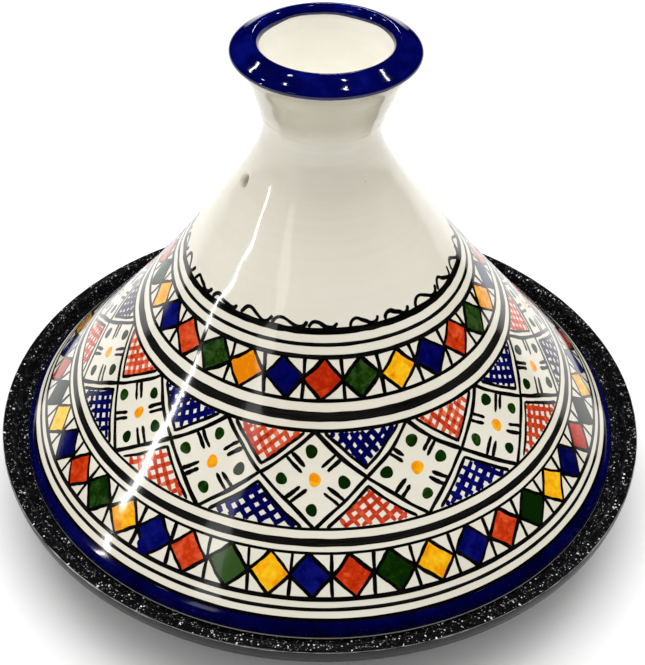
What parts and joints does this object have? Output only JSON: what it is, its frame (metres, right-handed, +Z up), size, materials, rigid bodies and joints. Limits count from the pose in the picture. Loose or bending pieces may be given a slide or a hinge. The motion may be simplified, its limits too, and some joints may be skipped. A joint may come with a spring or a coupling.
{
  "type": "tagine pot",
  "caption": "Round lidded cooking pot: a shallow cast pan with a raised lip, and a tall painted ceramic cone lid with a steam hole and a cup-shaped handle.",
  "frame": {"origin": "centre of the pan's underside, where the pot stands", "axes": "+Z up along the axis of the pan and lid; the steam hole is on the -X side, 11 degrees towards -Y"},
  "size_m": [0.32, 0.32, 0.2474],
  "materials": {
    "granite_coating": "black non-stick coating with fine white specks, satin dark grey outside",
    "disc_steel": "turned ferritic steel",
    "white_glaze": "glossy cream glaze with hand-painted bands",
    "cobalt_glaze": "glossy cobalt glaze on the rolled rim, cream below and inside"
  },
  "bodies": {
    "base": {"base_pan": "granite_coating", "induction_disc": "disc_steel"},
    "lid": {"lid_cone": "white_glaze", "lid_cup": "cobalt_glaze"}
  },
  "joints": [
    {"name": "lid_lift", "type": "slide", "parent": "base", "child": "lid", "axis": [0, 0, 1], "range_m": [0, 0.25]}
  ]
}
